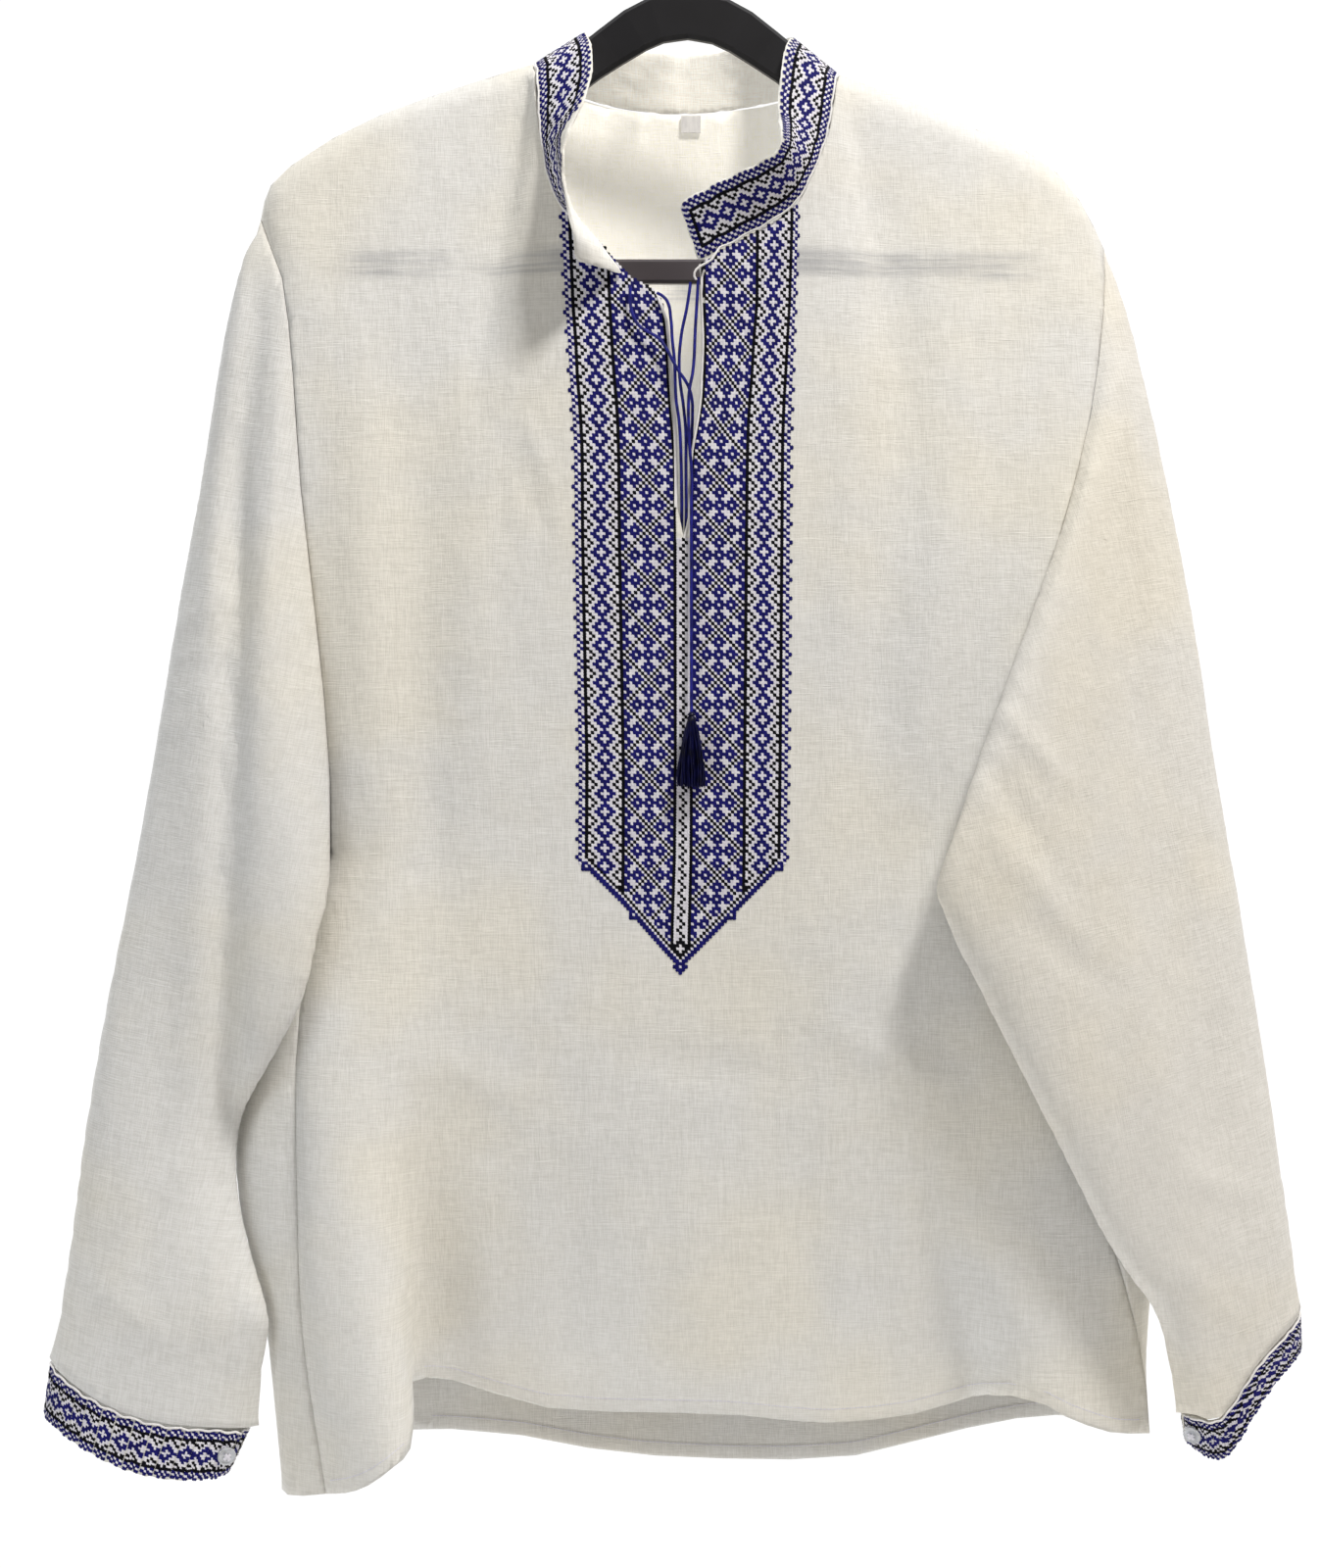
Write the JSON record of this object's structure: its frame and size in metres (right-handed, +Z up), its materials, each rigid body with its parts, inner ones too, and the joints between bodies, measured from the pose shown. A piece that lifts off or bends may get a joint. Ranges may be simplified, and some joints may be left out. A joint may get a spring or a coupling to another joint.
{
  "type": "embroidered shirt on a hanger",
  "caption": "Pullover linen shirt with stand collar, tied neck slit, long cuffed sleeves and cross-stitch panel, hanging on a plain clothes hanger.",
  "frame": {"origin": "inside of the top of the hanger's hook, where a rail carries it", "axes": "+Z up, -Y out of the shirt's front, +X to the right of someone who faces the front"},
  "size_m": [0.679, 0.1369, 0.8796],
  "materials": {
    "linen": "matte plain weave",
    "stitched_linen": "matte cross stitch",
    "white_thread": "soft cotton",
    "blue_thread": "soft cotton",
    "black_thread": "soft cotton",
    "button": "clear",
    "hanger": "satin",
    "hook": "bright wire"
  },
  "bodies": {
    "root": {"front": "linen", "back": "linen", "sleeve_left": "linen", "sleeve_right": "linen", "collar": "stitched_linen", "cuff_left": "stitched_linen", "cuff_right": "stitched_linen", "slit_binding_left": "white_thread", "slit_binding_right": "white_thread", "neck_loop": "white_thread", "button_left": "button", "button_right": "button", "tie_left_outer": "blue_thread", "tie_left_inner": "blue_thread", "tie_right_outer": "blue_thread", "tie_right_inner": "blue_thread", "tassel_outer": "blue_thread", "tassel_inner": "blue_thread", "hanger": "hanger", "hanger_bar": "hanger", "hook": "hook"}
  },
  "joints": []
}
